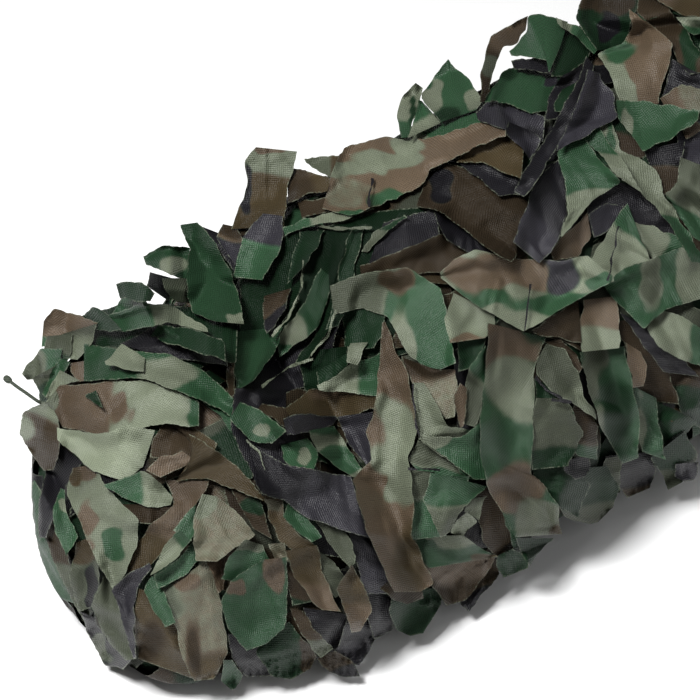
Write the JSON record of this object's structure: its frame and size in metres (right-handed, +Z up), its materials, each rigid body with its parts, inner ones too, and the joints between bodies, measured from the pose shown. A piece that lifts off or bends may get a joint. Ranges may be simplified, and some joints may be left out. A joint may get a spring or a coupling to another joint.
{
  "type": "camouflage net bundle",
  "caption": "Leaf-cut camouflage net in woodland colours, gathered lengthwise into a loose bundle with its end folded back in a lobe.",
  "frame": {"origin": "on the surface that the bundle lies on, below the middle of its box", "axes": "+X along the bundle, away from its folded end lobe; +Z up; -Y is the side that faces the viewer"},
  "size_m": [0.9156, 0.3812, 0.2921],
  "materials": {
    "camouflage_cloth": "satin woven polyester with a woodland print",
    "green_string": "matt twisted string"
  },
  "bodies": {
    "root": {"net_cloth": "camouflage_cloth", "string_end": "green_string"}
  },
  "joints": []
}
